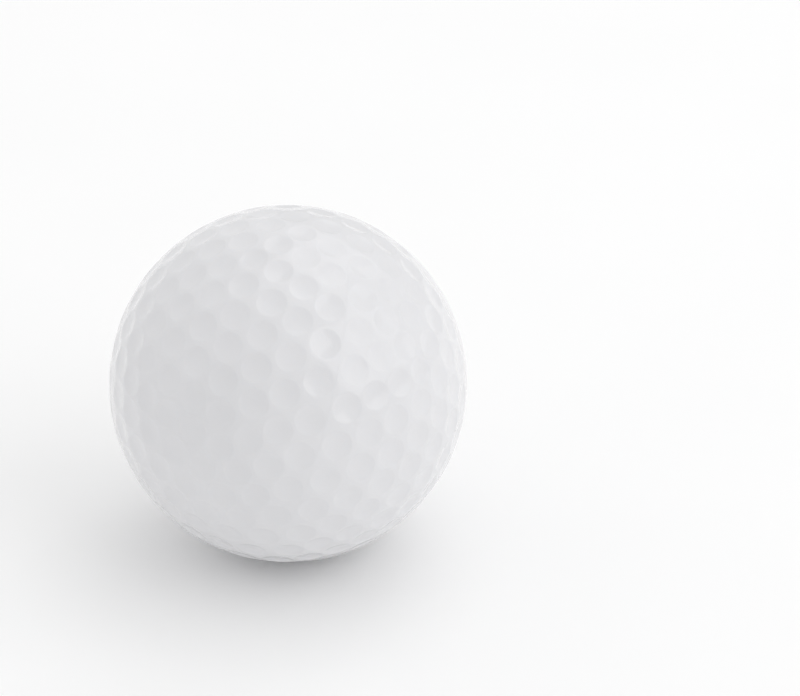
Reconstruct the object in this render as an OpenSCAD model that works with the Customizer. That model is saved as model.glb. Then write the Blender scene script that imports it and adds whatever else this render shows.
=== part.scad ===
// Golf ball: a solid core, a mantle of two cups and a dimpled cover of two half shells.
// Lengths are in millimetres and angles in degrees.
// The origin is the centre of the ball and +Z is up as it rests.
// Both cover halves are the same moulding. They meet on a plane seam that crosses no dimple.

/* [Ball] */
// Diameter over the lands between the dimples
ball_d = 42.67; // [42.67:0.01:44]
// Thickness of the cover under the lands
cover_t = 1.6; // [1:0.1:2.4]
// Thickness of the mantle
mantle_t = 1.5; // [0.8:0.1:3]

/* [Dimples] */
// Diameter of the largest dimples at the rim
dimple_d = 3.6; // [3:0.05:3.6]
// Depth of a dimple below the flat circle of its rim
dimple_depth = 0.15; // [0.08:0.01:0.25]
// Least width of the land between two dimples
land_w = 0.15; // [0.1:0.05:0.4]
// Angle at the centre between the seam and the row of dimples beside it
seam_angle = 5.2; // [5:0.1:5.5]
// Angle at the centre between a pole and the five-way points around it
cap_angle = 60.7; // [60:0.1:61.5]

/* [Rest] */
// Tilt of the moulding axis away from +Z
axis_tilt = 71.5; // [0:0.1:90]
// Direction the moulding axis leans, turned from +X towards +Y
axis_heading = -171.4; // [-180:0.1:180]
// Turn of the dimple pattern about the moulding axis
pattern_turn = 17.6; // [0:0.1:72]

/* [Hidden] */
$fn = 96;
sectors = 5;                 // the pattern repeats five times round the moulding axis
cap_rings = 6;               // rings of dimples from a pole to its five-way points
belt_rings = 3;              // even rings from there down to the seam
size_step = 0.05;            // dimple diameters are multiples of this
belt_spread = 1;             // degrees the belt dimples move away from the five-way points
half_twist = 42;             // turn of one cover half against the other, so the seam rows mesh
cutter_h = 1;                // height of a dimple's cutter, enough to clear the ball above the rim
ball_r = ball_d / 2;
mantle_r = ball_r - cover_t;
core_r = mantle_r - mantle_t;
sector_angle = 360 / sectors;
belt_count = sectors * cap_rings;
// The edge between two five-way points lies nearer the pole in its middle
edge_middle = atan(tan(cap_angle) * cos(sector_angle / 2));
edge_mean = (cap_angle + edge_middle) / 2;
edge_wave = (cap_angle - edge_middle) / 2;

white_cover = [0.93, 0.93, 0.94];
grey_mantle = [0.72, 0.74, 0.76];
blue_core = [0.25, 0.42, 0.62];

// ---------- where the dimples are, as unit vectors from the centre of an upright half ----------

function lerp(a, b, t) = a + (b - a) * t;
function unit(v) = v / norm(v);
function on_ball(angle, turn) = [sin(angle) * cos(turn), sin(angle) * sin(turn), cos(angle)];

// Pull of one corner of a cap triangle, so that equal steps give equal arcs along its sides
function pull(part) = sin(part * cap_angle);
function corner(sector) = on_ball(cap_angle, sector_angle * sector);

cap_sites = [
    for (ring = [1 : cap_rings], sector = [0 : sectors - 1], place = [0 : ring - 1])
        unit(pull(1 - ring / cap_rings) * [0, 0, 1]
            + pull((ring - place) / cap_rings) * corner(sector)
            + pull(place / cap_rings) * corner(sector + 1))
];

function edge_angle(turn) = edge_mean + edge_wave * cos(sectors * turn);

belt_sites = [
    for (ring = [1 : belt_rings], place = [0 : belt_count - 1])
        let (turn = (place + ring / 2) * 360 / belt_count)
        let (down = ring / belt_rings)
        on_ball(lerp(edge_angle(turn), 90 - seam_angle, down),
                turn + belt_spread * (1 - down) * sin(sectors * turn))
];

sites = concat([[0, 0, 1]], cap_sites, belt_sites);

// Distance over the ball from one dimple to its nearest neighbour
function spacing(i) =
    ball_r * min([for (k = [0 : len(sites) - 1]) if (k != i) norm(sites[k] - sites[i])]);
function diameter(i) =
    min(dimple_d, floor((spacing(i) - land_w) / size_step) * size_step);

// ---------- building blocks ----------

// Turns +Z onto a direction
module aim(v) {
    rotate([0, acos(v[2]), atan2(v[1], v[0])]) children();
}

// The upper half of a hollow ball, cut off flat at z = 0
module half_shell(outer_r, inner_r) {
    intersection() {
        difference() {
            sphere(r = outer_r);
            sphere(r = inner_r);
        }
        translate([-ball_d, -ball_d, 0]) cube([2 * ball_d, 2 * ball_d, ball_d]);
    }
}

// The lens cut out of the cover for one dimple at the +Z end of the ball
module dimple(d) {
    rim_z = sqrt(pow(ball_r, 2) - pow(d / 2, 2));
    bowl_r = (pow(d / 2, 2) + pow(dimple_depth, 2)) / (2 * dimple_depth);
    intersection() {
        translate([0, 0, rim_z - dimple_depth + bowl_r]) sphere(r = bowl_r);
        translate([0, 0, rim_z - 2 * dimple_depth]) cylinder(d = d + land_w / 2, h = cutter_h);
    }
}

module half_cover() {
    difference() {
        half_shell(ball_r, mantle_r);
        for (i = [0 : len(sites) - 1]) aim(sites[i]) dimple(diameter(i));
    }
}

// From the moulding axis upright to the way the ball rests
module as_rested() {
    rotate([0, axis_tilt, axis_heading]) rotate([0, 0, pattern_turn]) children();
}

// The same half on the other side of the seam
module other_half() {
    rotate([0, 0, half_twist]) rotate([180, 0, 0]) children();
}

// ---------- the pieces ----------

module core() {
    color(blue_core) sphere(r = core_r);
}

module mantle_left() {
    color(grey_mantle) as_rested() half_shell(mantle_r, core_r);
}

module mantle_right() {
    color(grey_mantle) as_rested() other_half() half_shell(mantle_r, core_r);
}

module cover_left() {
    color(white_cover) as_rested() half_cover();
}

module cover_right() {
    color(white_cover) as_rested() other_half() half_cover();
}

core();
mantle_left();
mantle_right();
cover_left();
cover_right();
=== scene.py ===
"""A glossy white golf ball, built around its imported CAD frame.

Each cover half of the CAD is replaced by a finer skin with rounded dimple rims. The mantle and the core
keep their CAD meshes, with materials of their own. Lengths are in metres and angles in degrees.
"""

import math

import bpy
import numpy as np
from mathutils import Matrix, Vector
from mathutils.geometry import delaunay_2d_cdt


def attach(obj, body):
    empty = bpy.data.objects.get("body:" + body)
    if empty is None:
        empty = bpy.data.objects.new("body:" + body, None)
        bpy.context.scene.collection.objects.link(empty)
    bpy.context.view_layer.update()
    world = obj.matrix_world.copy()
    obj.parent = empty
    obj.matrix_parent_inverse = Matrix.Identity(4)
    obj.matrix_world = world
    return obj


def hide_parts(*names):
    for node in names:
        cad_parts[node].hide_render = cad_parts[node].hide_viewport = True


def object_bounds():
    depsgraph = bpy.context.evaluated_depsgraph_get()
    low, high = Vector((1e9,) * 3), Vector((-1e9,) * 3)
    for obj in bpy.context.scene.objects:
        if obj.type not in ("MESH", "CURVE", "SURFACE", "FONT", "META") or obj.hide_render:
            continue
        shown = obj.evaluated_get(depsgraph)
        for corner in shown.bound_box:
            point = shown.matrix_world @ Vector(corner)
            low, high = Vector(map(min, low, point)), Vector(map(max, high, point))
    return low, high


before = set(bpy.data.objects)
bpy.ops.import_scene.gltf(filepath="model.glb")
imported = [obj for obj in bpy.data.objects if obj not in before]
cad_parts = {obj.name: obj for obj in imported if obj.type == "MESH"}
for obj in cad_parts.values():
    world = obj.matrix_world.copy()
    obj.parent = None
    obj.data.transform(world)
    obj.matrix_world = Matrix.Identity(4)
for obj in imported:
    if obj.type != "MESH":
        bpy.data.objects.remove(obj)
cad_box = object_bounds()

MM = 0.001
UP = np.array([0.0, 0.0, 1.0])

# The ball, as in the CAD source
BALL_R = 42.67 / 2 * MM
MANTLE_R = BALL_R - 1.6 * MM
MAX_DIMPLE_D = 3.6 * MM
DIMPLE_DEPTH = 0.15 * MM
LAND_W = 0.15 * MM
SIZE_STEP = 0.05 * MM
SEAM_ANGLE = 5.2
CAP_ANGLE = 60.7
AXIS_TILT = 71.5
AXIS_HEADING = -171.4
PATTERN_TURN = 17.6
HALF_TWIST = 42.0
SECTORS = 5
CAP_RINGS = 6
BELT_RINGS = 3
BELT_SPREAD = 1.0

# The skin's mesh
RIM_ROUNDING = 0.01 * MM  # how far the rounded rim lies below the sharp one
DIMPLE_SEGMENTS = 44
BOWL_RINGS = (0.22, 0.42, 0.6, 0.75, 0.86)  # shares of the rim radius
RIM_RINGS = (-0.16, -0.1, -0.05, 0.0, 0.05)  # millimetres out from the rim
SEAM_SEGMENTS = 440
INSIDE_RINGS = 36
INSIDE_RING_STEP = 4  # points that each inside ring has more than the last
LAND_POINTS = 12000  # evenly over a half, before those near a dimple are dropped
LAND_CLEARANCE = 0.16 * MM
EDGE_SHARE = 0.998  # a triangle with its middle inside this share of a dimple's last ring isn't land
MAP_TOLERANCE = 1e-9  # points nearer than this on the flat map count as one
SHARP_ANGLE = 40.0  # an edge that turns more than this is shaded sharp

# The camera: distance and place of the ball in its view, in ball radii
CAMERA_ELEVATION = 29.2
CAMERA_DISTANCE = 16.0
BALL_LEFT = 0.625
BALL_DOWN = 0.198
SENSOR_W = 36.0
LENS = 128.5
CLIP_START = 0.01

# The studio: soft panels that face the ball. Sizes are shares of their distance.
ROOM_LIGHT = 0.725
PANEL_DISTANCE = 2.0
PANELS = {
    "key": {"azimuth": -38, "elevation": 34, "width": 0.5, "height": 0.85, "radiance": 0.45},
    "key_spread": {"azimuth": -22, "elevation": 35, "width": 1.0, "height": 0.85, "radiance": 0.76},
    "side": {"azimuth": 22, "elevation": 50, "width": 0.9, "height": 0.8, "radiance": 0.3},
    "window": {"azimuth": 66, "elevation": 55, "width": 0.58, "height": 0.8, "radiance": 0.54},
    "overhead": {"azimuth": 50, "elevation": 80, "width": 0.7, "height": 0.7, "radiance": 0.4},
    "back": {"azimuth": 125, "elevation": 25, "width": 1.2, "height": 1.0, "radiance": 0.17},
    "left": {"azimuth": 180, "elevation": 28, "width": 1.0, "height": 1.0, "radiance": 0.24},
}
FLOOR_SIZE = 10.0


# ---------- where the dimples are ----------


def on_ball(angle, turn):
    """Unit vector at an angle from +Z, turned from +X."""
    a, t = np.radians(angle), np.radians(turn)
    return np.stack([np.sin(a) * np.cos(t), np.sin(a) * np.sin(t), np.cos(a)], -1)


def unit(v):
    """Vectors at unit length."""
    return v / np.linalg.norm(v, axis=-1, keepdims=True)


def cap_sites():
    """Dimples inside the five triangles round a pole, spaced by equal arcs along their sides."""

    def pull(part):
        return math.sin(math.radians(part * CAP_ANGLE))

    corners = [on_ball(CAP_ANGLE, 360 / SECTORS * k) for k in range(SECTORS + 1)]
    found = [UP]
    for ring in range(1, CAP_RINGS + 1):
        for sector in range(SECTORS):
            for place in range(ring):
                found.append(
                    unit(
                        pull(1 - ring / CAP_RINGS) * UP
                        + pull((ring - place) / CAP_RINGS) * corners[sector]
                        + pull(place / CAP_RINGS) * corners[sector + 1]
                    )
                )
    return found


def belt_sites():
    """Even rings of dimples between the cap and the seam."""
    edge_middle = math.degrees(
        math.atan(math.tan(math.radians(CAP_ANGLE)) * math.cos(math.pi / SECTORS))
    )
    mean, wave = (CAP_ANGLE + edge_middle) / 2, (CAP_ANGLE - edge_middle) / 2
    count = SECTORS * CAP_RINGS
    found = []
    for ring in range(1, BELT_RINGS + 1):
        down = ring / BELT_RINGS
        for place in range(count):
            turn = (place + ring / 2) * 360 / count
            phase = math.radians(SECTORS * turn)
            edge = mean + wave * math.cos(phase)
            angle = edge + (90 - SEAM_ANGLE - edge) * down
            found.append(on_ball(angle, turn + BELT_SPREAD * (1 - down) * math.sin(phase)))
    return found


def dimple_pattern():
    """Directions and rim diameters of the dimples of one upright half."""
    sites = np.array(cap_sites() + belt_sites())
    apart = np.linalg.norm(sites[:, None] - sites[None], axis=-1) * BALL_R
    np.fill_diagonal(apart, 1.0)
    steps = np.floor((apart.min(axis=1) - LAND_W) / SIZE_STEP)
    return sites, np.minimum(steps * SIZE_STEP, MAX_DIMPLE_D)


# ---------- the skin of one half ----------


def surface_radius(directions, sites, diameters):
    """Distance from the ball's centre to its skin: bowls cut into a sphere, with rounded rims.

    A rim is rounded by a smooth minimum, which lies a quarter of its width below the sharp one.
    """
    blend_width = 4 * RIM_ROUNDING
    radius = np.full(len(directions), BALL_R)
    softened = np.zeros(len(directions))
    for axis, diameter in zip(sites, diameters):
        near = np.nonzero(directions @ axis > math.cos(diameter / BALL_R))[0]
        off_axis = np.arccos(np.clip(directions[near] @ axis, -1, 1))
        rim_r = diameter / 2
        bowl_r = (rim_r**2 + DIMPLE_DEPTH**2) / (2 * DIMPLE_DEPTH)
        centre = math.sqrt(BALL_R**2 - rim_r**2) - DIMPLE_DEPTH + bowl_r
        reach = bowl_r**2 - (centre * np.sin(off_axis)) ** 2
        bowl = centre * np.cos(off_axis) - np.sqrt(reach)
        radius[near] = np.minimum(radius[near], bowl)
        blend = np.maximum(blend_width - np.abs(bowl - BALL_R), 0)
        softened[near] += blend**2 / (4 * blend_width)
    return radius - softened


def ring_directions(axis, off_axis, count):
    """Unit vectors in a ring around an axis, counter-clockwise seen from outside."""
    well_off_axis = UP if abs(axis[2]) < 0.9 else np.array([0.0, 1.0, 0.0])
    side = unit(np.cross(axis, well_off_axis))
    other = np.cross(axis, side)
    turn = np.arange(count) * 2 * math.pi / count
    around = np.cos(turn)[:, None] * side + np.sin(turn)[:, None] * other
    return math.cos(off_axis) * axis + math.sin(off_axis) * around


def ring_angles(diameter):
    """Angles off a dimple's axis at which its mesh has a ring."""
    inner = [share * (diameter / 2 + RIM_RINGS[0] * MM) for share in BOWL_RINGS]
    rim = [diameter / 2 + out * MM for out in RIM_RINGS]
    return [math.asin(r / BALL_R) for r in inner + rim]


def dimple_mesh(axis, diameter):
    """Directions and faces of one dimple: a fan and rings of quads. The last ring comes last."""
    n = DIMPLE_SEGMENTS
    rings = [ring_directions(axis, angle, n) for angle in ring_angles(diameter)]
    faces = [(0, 1 + k, 1 + (k + 1) % n) for k in range(n)]
    for ring in range(len(rings) - 1):
        low, high = 1 + ring * n, 1 + (ring + 1) * n
        for k in range(n):
            after = (k + 1) % n
            faces.append((low + k, high + k, high + after, low + after))
    return np.concatenate([axis[None]] + rings), faces


def land_directions(sites, diameters):
    """Evenly spread directions on the lands of the upper half, clear of every dimple."""
    k = np.arange(LAND_POINTS)
    z = 1 - (k + 0.5) / LAND_POINTS
    turn = k * 180 * (3 - math.sqrt(5))
    spread = on_ball(np.degrees(np.arccos(z)), turn)
    clear = z > LAND_CLEARANCE / BALL_R
    for axis, diameter in zip(sites, diameters):
        clear &= spread @ axis < math.cos((diameter / 2 + LAND_CLEARANCE) / BALL_R)
    return spread[clear]


def seam_directions():
    """The ring of directions along the seam, the same for the outside and the inside."""
    return ring_directions(UP, math.pi / 2, SEAM_SEGMENTS)


def triangles_over(directions):
    """Triangles over directions of the upper half, by a map onto a disc that keeps circles round."""
    disc = directions[:, :2] / (1 + directions[:, 2:3])
    flat = [Vector((float(x), float(y))) for x, y in disc]
    _, _, faces, origins = delaunay_2d_cdt(flat, [], [], 0, MAP_TOLERANCE)[:4]
    return [tuple(origins[v][0] for v in face) for face in faces]


def outside_faces(sites, diameters):
    """The dimpled outside of an upright half: directions, faces, and where the seam ring begins."""
    directions, faces, edge_rings = [], [], []
    count = 0
    for axis, diameter in zip(sites, diameters):
        around, own_faces = dimple_mesh(axis, diameter)
        faces += [tuple(v + count for v in face) for face in own_faces]
        count += len(around)
        directions.append(around)
        edge_rings.append(np.arange(count - DIMPLE_SEGMENTS, count))
    land = land_directions(sites, diameters)
    seam = seam_directions()
    directions = np.concatenate(directions + [land, seam])
    free = np.concatenate(edge_rings + [np.arange(count, len(directions))])
    triangles = free[np.array(triangles_over(directions[free]))]
    middles = unit(directions[triangles].mean(axis=1))
    on_land = np.ones(len(triangles), bool)
    for axis, diameter in zip(sites, diameters):
        on_land &= middles @ axis < math.cos(EDGE_SHARE * ring_angles(diameter)[-1])
    faces += [tuple(int(v) for v in triangle) for triangle in triangles[on_land]]
    return directions, faces, len(directions) - SEAM_SEGMENTS


def half_mesh():
    """Points and faces of one upright cover half: dimpled outside, plain inside, flat at the seam."""
    sites, diameters = dimple_pattern()
    outer, faces, seam_start = outside_faces(sites, diameters)
    points = outer * surface_radius(outer, sites, diameters)[:, None]
    rings = [
        ring_directions(UP, math.pi / 2 * k / INSIDE_RINGS, INSIDE_RING_STEP * k)
        for k in range(1, INSIDE_RINGS)
    ]
    inner = np.concatenate([UP[None]] + rings + [seam_directions()])
    base = len(points)
    faces += [tuple(v + base for v in reversed(face)) for face in triangles_over(inner)]
    inner_start = base + len(inner) - SEAM_SEGMENTS
    for k in range(SEAM_SEGMENTS):
        after = (k + 1) % SEAM_SEGMENTS
        faces.append((seam_start + k, inner_start + k, inner_start + after, seam_start + after))
    return np.concatenate([points, inner * MANTLE_R]), faces


def rest_turn():
    """The turn from an upright half to the way the ball rests."""
    return (
        Matrix.Rotation(math.radians(AXIS_HEADING), 3, "Z")
        @ Matrix.Rotation(math.radians(AXIS_TILT), 3, "Y")
        @ Matrix.Rotation(math.radians(PATTERN_TURN), 3, "Z")
    )


def other_half_turn():
    """The turn that takes an upright half to the far side of its seam."""
    return Matrix.Rotation(math.radians(HALF_TWIST), 3, "Z") @ Matrix.Rotation(math.pi, 3, "X")


def add_skin(name, points, faces, turn, material):
    """A cover half as an object at the origin, with its mesh turned to where it rests."""
    mesh = bpy.data.meshes.new(name)
    mesh.from_pydata((points @ np.array(turn).T).tolist(), [], faces)
    mesh.shade_smooth()
    mesh.set_sharp_from_angle(angle=math.radians(SHARP_ANGLE))
    mesh.materials.append(material)
    obj = bpy.data.objects.new(name, mesh)
    bpy.context.scene.collection.objects.link(obj)
    return obj


# ---------- materials ----------


class Nodes:
    """A short way to write a node material."""

    def __init__(self, name):
        self.material = bpy.data.materials.new(name)
        self.material.use_nodes = True
        self.tree = self.material.node_tree
        self.shader = self.tree.nodes["Principled BSDF"]
        self.place = self.tree.nodes.new("ShaderNodeTexCoord").outputs["Object"]

    def noise(self, size, detail=2.0, roughness=0.5):
        """Noise with features of about that size, in metres."""
        node = self.tree.nodes.new("ShaderNodeTexNoise")
        node.inputs["Scale"].default_value = 1 / size
        node.inputs["Detail"].default_value = detail
        node.inputs["Roughness"].default_value = roughness
        self.tree.links.new(self.place, node.inputs["Vector"])
        return node.outputs["Fac"]

    def ramp(self, value, low, high):
        """Maps a value from 0..1 to low..high."""
        node = self.tree.nodes.new("ShaderNodeMapRange")
        node.inputs["To Min"].default_value = low
        node.inputs["To Max"].default_value = high
        self.tree.links.new(value, node.inputs["Value"])
        return node.outputs["Result"]

    def colours(self, value, stops):
        """A colour ramp through (position, colour) stops."""
        node = self.tree.nodes.new("ShaderNodeValToRGB")
        ramp = node.color_ramp
        while len(ramp.elements) < len(stops):
            ramp.elements.new(0.5)
        for element, (position, colour) in zip(ramp.elements, stops):
            element.position = position
            element.color = (*colour, 1)
        self.tree.links.new(value, node.inputs["Fac"])
        return node.outputs["Color"]

    def bump(self, height, distance, strength):
        """A normal that follows a height, in relief of that distance in metres."""
        node = self.tree.nodes.new("ShaderNodeBump")
        node.inputs["Distance"].default_value = distance
        node.inputs["Strength"].default_value = strength
        self.tree.links.new(height, node.inputs["Height"])
        return node.outputs["Normal"]

    def set(self, **values):
        """Sets sockets by name, with _ for a space: a number or colour directly, a socket by a link."""
        for name, value in values.items():
            socket = self.shader.inputs[name.replace("_", " ")]
            if isinstance(value, bpy.types.NodeSocket):
                self.tree.links.new(value, socket)
            else:
                socket.default_value = value


def cover_material():
    """White moulded plastic under a clear coat."""
    n = Nodes("cover_white")
    tone = n.colours(
        n.noise(9 * MM, detail=3),
        [(0.3, (0.724, 0.724, 0.741)), (0.7, (0.744, 0.744, 0.761))],
    )
    peel = n.bump(n.noise(0.7 * MM, detail=1), distance=0.004 * MM, strength=0.35)
    n.set(
        Base_Color=tone,
        Roughness=n.ramp(n.noise(3 * MM, detail=4), low=0.3, high=0.4),
        Specular_IOR_Level=0.15,
        Subsurface_Weight=0.08,
        Subsurface_Radius=(1.0, 0.9, 0.8),
        Subsurface_Scale=0.4 * MM,
        Coat_Weight=1.0,
        Coat_Roughness=0.05,
        Coat_IOR=1.4,
        Normal=peel,
        Coat_Normal=peel,
    )
    return n.material


def mantle_material():
    """Grey moulded plastic with faint flow marks."""
    n = Nodes("mantle_grey")
    tone = n.colours(
        n.noise(6 * MM, detail=5),
        [(0.35, (0.44, 0.47, 0.5)), (0.65, (0.52, 0.54, 0.56))],
    )
    n.set(
        Base_Color=tone,
        Roughness=n.ramp(n.noise(1.5 * MM, detail=3), low=0.42, high=0.58),
        Normal=n.bump(n.noise(0.4 * MM), distance=0.01 * MM, strength=0.4),
    )
    return n.material


def core_material():
    """Dull blue rubber with fine pale filler."""
    n = Nodes("core_rubber")
    tone = n.colours(
        n.noise(0.5 * MM, detail=3, roughness=0.7),
        [(0.4, (0.05, 0.14, 0.33)), (0.62, (0.09, 0.2, 0.42)), (0.75, (0.3, 0.38, 0.5))],
    )
    n.set(
        Base_Color=tone,
        Roughness=n.ramp(n.noise(1 * MM, detail=3), low=0.6, high=0.8),
        Normal=n.bump(n.noise(0.25 * MM, detail=3), distance=0.02 * MM, strength=0.5),
    )
    return n.material


def floor_material():
    """Plain pale card."""
    n = Nodes("floor_card")
    tone = n.colours(n.noise(40 * MM), [(0.3, (0.94, 0.94, 0.94)), (0.7, (0.95, 0.95, 0.95))])
    n.set(Base_Color=tone, Roughness=0.7)
    return n.material


# ---------- the scene ----------


def add_camera():
    """A camera at the photographed height, with the ball to the left of its view and below the middle."""
    tilt = math.radians(90 - CAMERA_ELEVATION)
    turn = Matrix.Rotation(tilt, 4, "X")
    place = turn.to_3x3() @ Vector((BALL_LEFT, BALL_DOWN, CAMERA_DISTANCE)) * BALL_R
    data = bpy.data.cameras.new("camera")
    data.lens = LENS
    data.sensor_width = SENSOR_W
    data.clip_start = CLIP_START
    camera = bpy.data.objects.new("camera", data)
    camera.matrix_world = Matrix.Translation(place) @ turn
    bpy.context.scene.collection.objects.link(camera)
    bpy.context.scene.camera = camera


def add_panel(name, azimuth, elevation, width, height, radiance):
    """A soft rectangular light that faces the ball from an azimuth (from +X towards +Y) and a height."""
    data = bpy.data.lights.new(name, "AREA")
    data.shape = "RECTANGLE"
    data.size = width * PANEL_DISTANCE
    data.size_y = height * PANEL_DISTANCE
    data.energy = math.pi * radiance * data.size * data.size_y
    light = bpy.data.objects.new(name, data)
    direction = on_ball(90 - elevation, azimuth)
    light.location = Vector(direction.tolist()) * PANEL_DISTANCE
    light.rotation_euler = light.location.to_track_quat("Z", "Y").to_euler()
    bpy.context.scene.collection.objects.link(light)


def add_floor(height):
    """A square floor that the ball stands on, which isn't part of the object."""
    mesh = bpy.data.meshes.new("floor")
    half = FLOOR_SIZE / 2
    corners = [(-half, -half, height), (half, -half, height), (half, half, height), (-half, half, height)]
    mesh.from_pydata(corners, [], [(0, 1, 2, 3)])
    mesh.materials.append(floor_material())
    floor = bpy.data.objects.new("floor", mesh)
    bpy.context.scene.collection.objects.link(floor)


def light_scene():
    """A white room with the soft panels in it."""
    world = bpy.data.worlds.new("studio")
    world.use_nodes = True
    background = world.node_tree.nodes["Background"]
    background.inputs["Color"].default_value = (1, 1, 1, 1)
    background.inputs["Strength"].default_value = ROOM_LIGHT
    bpy.context.scene.world = world
    bpy.context.scene.view_settings.view_transform = "Standard"
    for name, panel in PANELS.items():
        add_panel(name, **panel)


def paint_node(name, material):
    """Gives a CAD node that stays in view its own material."""
    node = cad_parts[name]
    node.data.materials.clear()
    node.data.materials.append(material)


def build_ball():
    """The two skins in place of the CAD cover halves, and materials for the pieces inside."""
    points, faces = half_mesh()
    white = cover_material()
    for side, turn in (("left", rest_turn()), ("right", rest_turn() @ other_half_turn())):
        skin = add_skin(f"cover_skin_{side}", points, faces, turn, white)
        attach(skin, "root")
        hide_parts(f"cover_{side}")
    grey = mantle_material()
    paint_node("mantle_left", grey)
    paint_node("mantle_right", grey)
    paint_node("core", core_material())


add_camera()
light_scene()
add_floor(cad_box[0][2])
build_ball()
